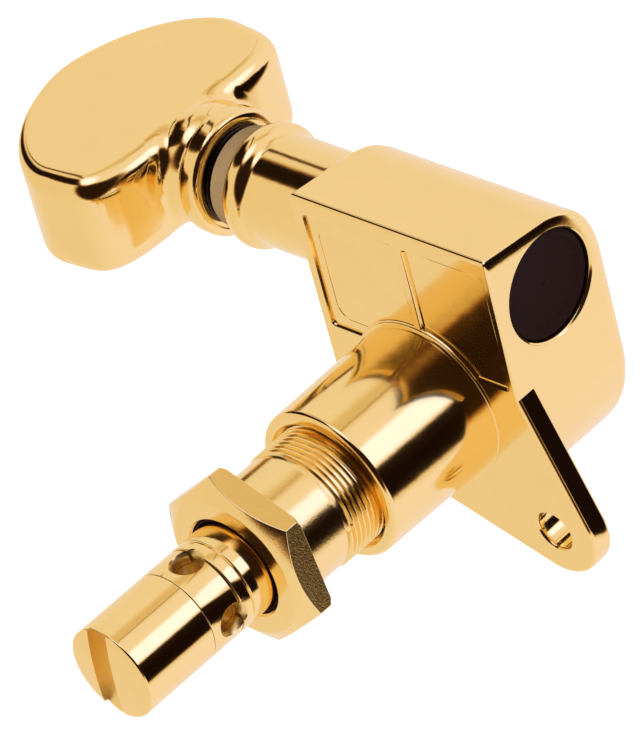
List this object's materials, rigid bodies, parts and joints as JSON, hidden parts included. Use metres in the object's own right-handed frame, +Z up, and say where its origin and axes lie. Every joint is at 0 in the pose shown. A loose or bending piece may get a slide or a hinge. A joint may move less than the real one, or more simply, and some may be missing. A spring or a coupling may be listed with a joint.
{
  "type": "guitar tuning machine",
  "caption": "Sealed right-angle guitar tuner: boxy gold gear case with ear, barrel and half-moon button, collar with hex bushing, and a locking string post with slotted cap.",
  "frame": {"origin": "on the string post's axis, in the plane of the case face that meets the back of the headstock", "axes": "+Z up the string post, through the headstock; +X along the worm shaft to the button; +Y towards the screw ear; the case hangs below the origin and its flat top looks along -Y"},
  "size_m": [0.0422, 0.0224, 0.0407],
  "materials": {
    "gold_plate": "mirror-polished gold plate over die-cast zinc and brass",
    "wheel_brass": "machined brass",
    "steel": "turned steel",
    "black_plastic": "moulded, satin",
    "nylon": "off-white nylon",
    "rubber": "plain"
  },
  "bodies": {
    "case": {"housing": "gold_plate", "gear_cover": "gold_plate", "post_thrust_washer": "steel", "end_plug": "black_plastic", "end_bush": "wheel_brass", "rear_thrust_washer": "steel", "front_thrust_washer": "steel", "shaft_seal": "rubber", "button_washer": "nylon"},
    "shaft": {"worm_shaft": "steel", "button_spring_washer": "steel", "button": "gold_plate", "button_screw": "gold_plate"},
    "post": {"string_post": "gold_plate", "worm_wheel": "wheel_brass", "wheel_lock_washer": "steel", "wheel_screw": "steel", "cap_spring_washer": "steel"},
    "cap": {"post_cap": "gold_plate", "lock_sleeve": "gold_plate", "cap_snap_ring": "steel", "sleeve_pin_1": "steel", "sleeve_pin_2": "steel"},
    "bearing": {"post_bearing": "black_plastic"},
    "bushing": {"hex_bushing": "gold_plate"}
  },
  "joints": [
    {"name": "button_turn", "type": "hinge", "parent": "case", "child": "shaft", "pos_m": [0, -0.0077, -0.0045], "axis": [1, 0, 0], "continuous": true},
    {"name": "post_turn", "type": "hinge", "parent": "case", "child": "post", "pos_m": [0, 0, 0], "axis": [0, 0, 1], "continuous": true},
    {"name": "cap_turn", "type": "hinge", "parent": "post", "child": "cap", "pos_m": [0, 0, 0], "axis": [0, 0, 1], "range_deg": [0, 90]},
    {"name": "bushing_travel", "type": "slide", "parent": "case", "child": "bearing", "axis": [0, 0, 1], "range_m": [-0.0022, 0.003]},
    {"name": "bushing_turn", "type": "hinge", "parent": "bearing", "child": "bushing", "pos_m": [0, 0, 0], "axis": [0, 0, 1], "continuous": true}
  ],
  "couplings": [
    {"joint": "post_turn", "follows": "button_turn", "ratio": -0.055556},
    {"joint": "bushing_turn", "follows": "bushing_travel", "rad_per_m": 8377.6}
  ]
}
